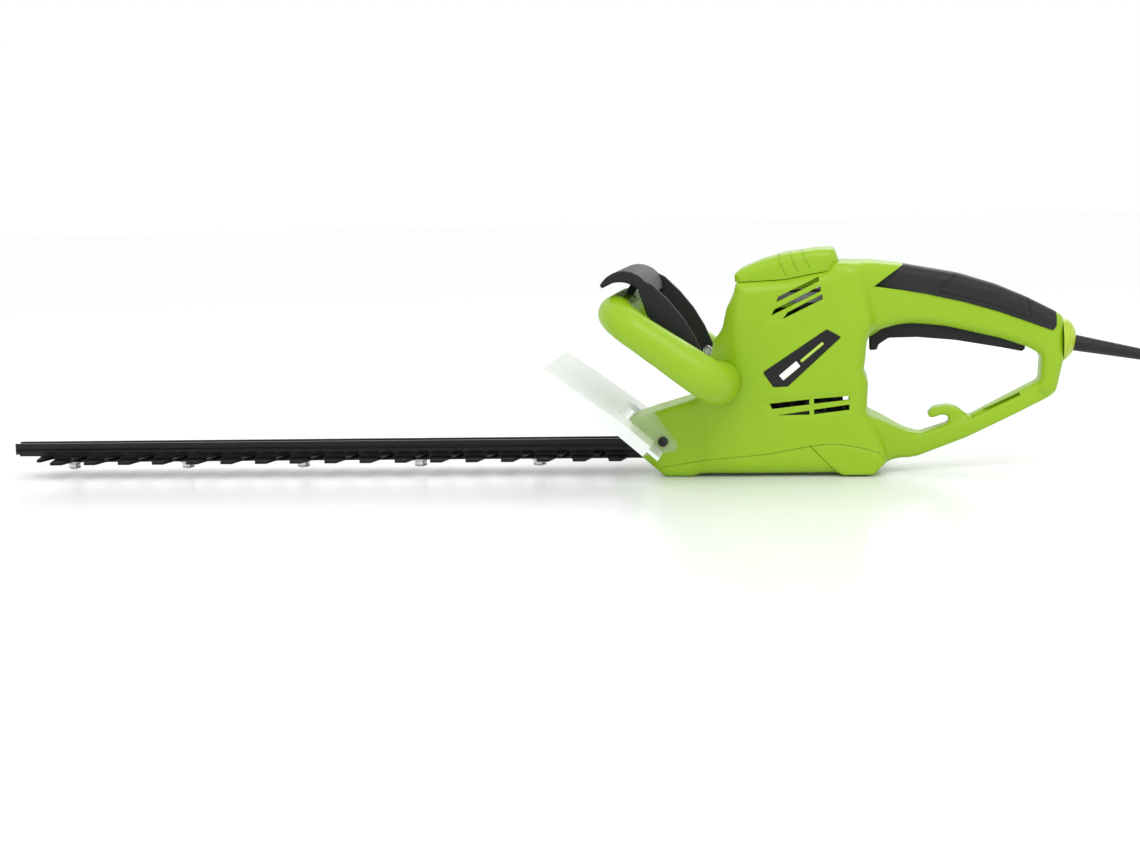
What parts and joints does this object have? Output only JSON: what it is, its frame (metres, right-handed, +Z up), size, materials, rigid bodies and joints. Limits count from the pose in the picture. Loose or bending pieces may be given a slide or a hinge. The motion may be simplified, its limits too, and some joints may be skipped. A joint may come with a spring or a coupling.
{
  "type": "electric hedge trimmer",
  "caption": "Mains hedge trimmer with a toothed double-action blade on a guide bar, looped front handle with safety lever, clear hand guard and closed rear handle.",
  "frame": {"origin": "on the floor under the middle of the trimmer's length and width, cord left out", "axes": "+X from the blade's tip towards the cord outlet, +Z up, the trimmer's left side is -Y"},
  "size_m": [1.054, 0.2841, 0.1737],
  "materials": {
    "housing_green": "moulded, fine grain",
    "outlet_green": "moulded",
    "control_black": "moulded, fine grain",
    "soft_black": "soft overmould",
    "badge_black": "gloss with plain stripes",
    "clear_guard": "clear moulding",
    "bar_black": "black coated extrusion",
    "blade_steel": "black oxide with ground edges",
    "bright_steel": "plated",
    "gear_steel": "hardened",
    "core_steel": "laminated",
    "gear_case": "die cast",
    "copper": "enamelled wire and bars",
    "carbon": "pressed carbon",
    "film": "dipped",
    "lead": "insulated wire"
  },
  "bodies": {
    "housing": {"left_housing": "housing_green", "right_housing": "housing_green", "top_cover": "housing_green", "housing_screws": "bright_steel", "badge_plate": "badge_black", "soft_grip": "soft_black", "trigger_pin": "bright_steel", "trigger_spring": "bright_steel", "rear_switch": "control_black", "front_handle_upper": "housing_green", "front_handle_lower": "housing_green", "front_handle_screws": "bright_steel", "lever_pins": "bright_steel", "lever_springs": "bright_steel", "front_switch": "control_black", "hand_guard": "clear_guard", "guard_screws": "control_black", "guide_bar": "bar_black", "blade_bolts": "bright_steel", "blade_washers": "bright_steel", "blade_nuts": "bright_steel", "bar_screws": "bright_steel", "gear_plate_upper": "gear_case", "gear_plate_lower": "gear_case", "gear_posts": "bright_steel", "gear_bearings": "bright_steel", "motor_bearings": "bright_steel", "motor_end_plate": "control_black", "stator": "core_steel", "field_coils": "copper", "brush_holders": "control_black", "brushes": "carbon", "brush_springs": "bright_steel", "capacitor": "film", "inner_leads": "lead", "cable_clamp": "control_black", "clamp_screws": "bright_steel", "outlet_cap": "outlet_green", "bend_relief": "soft_black", "cord": "soft_black", "plug_body": "soft_black", "plug_pins": "bright_steel"},
    "trigger": {"rear_trigger": "control_black"},
    "rear_button": {"rear_switch_button": "control_black"},
    "lever": {"front_lever": "control_black"},
    "front_button": {"front_switch_button": "control_black"},
    "gear": {"drive_gear": "gear_steel", "gear_shaft": "bright_steel", "upper_eccentric": "gear_steel", "lower_eccentric": "gear_steel"},
    "armature": {"armature_shaft": "bright_steel", "pinion": "gear_steel", "armature_core": "core_steel", "armature_windings": "copper", "commutator": "copper", "fan": "control_black"},
    "top_cutter": {"upper_blade": "blade_steel"},
    "bottom_cutter": {"lower_blade": "blade_steel"}
  },
  "joints": [
    {"name": "trigger_hinge", "type": "hinge", "parent": "housing", "child": "trigger", "pos_m": [0.276, 0, 0.118], "axis": [0, -1, 0], "range_deg": [0, 4], "stiffness_Nm_per_rad": 2, "springref_deg": -11.46, "deforming": ["trigger_spring"]},
    {"name": "rear_button_slide", "type": "slide", "parent": "housing", "child": "rear_button", "axis": [0, 0, 1], "range_m": [0, 0.005]},
    {"name": "lever_hinge", "type": "hinge", "parent": "housing", "child": "lever", "pos_m": [0.141, 0, 0.091], "axis": [0, -1, 0], "range_deg": [0, 6], "stiffness_Nm_per_rad": 2, "springref_deg": -14.32},
    {"name": "front_button_slide", "type": "slide", "parent": "housing", "child": "front_button", "axis": [-0.5717, 0, -0.8205], "range_m": [0, 0.008]},
    {"name": "gear_turn", "type": "hinge", "parent": "housing", "child": "gear", "pos_m": [0.1839, 0, 0.024], "axis": [0, 0, 1], "range_deg": [-90, 90]},
    {"name": "armature_turn", "type": "hinge", "parent": "housing", "child": "armature", "pos_m": [0.222, 0, 0.08], "axis": [0, 0, 1], "range_deg": [-481, 481]},
    {"name": "upper_blade_slide", "type": "slide", "parent": "housing", "child": "top_cutter", "axis": [1, 0, 0], "range_m": [-0.007, 0.007]},
    {"name": "lower_blade_slide", "type": "slide", "parent": "housing", "child": "bottom_cutter", "axis": [1, 0, 0], "range_m": [-0.007, 0.007]}
  ],
  "couplings": [
    {"joint": "rear_button_slide", "follows": "trigger_hinge", "m_per_rad": 0.069},
    {"joint": "front_button_slide", "follows": "lever_hinge", "m_per_rad": 0.0755},
    {"joint": "armature_turn", "follows": "gear_turn", "ratio": -5.3333},
    {"joint": "upper_blade_slide", "follows": "gear_turn", "m_per_rad": -0.004456},
    {"joint": "lower_blade_slide", "follows": "gear_turn", "m_per_rad": 0.004456}
  ]
}
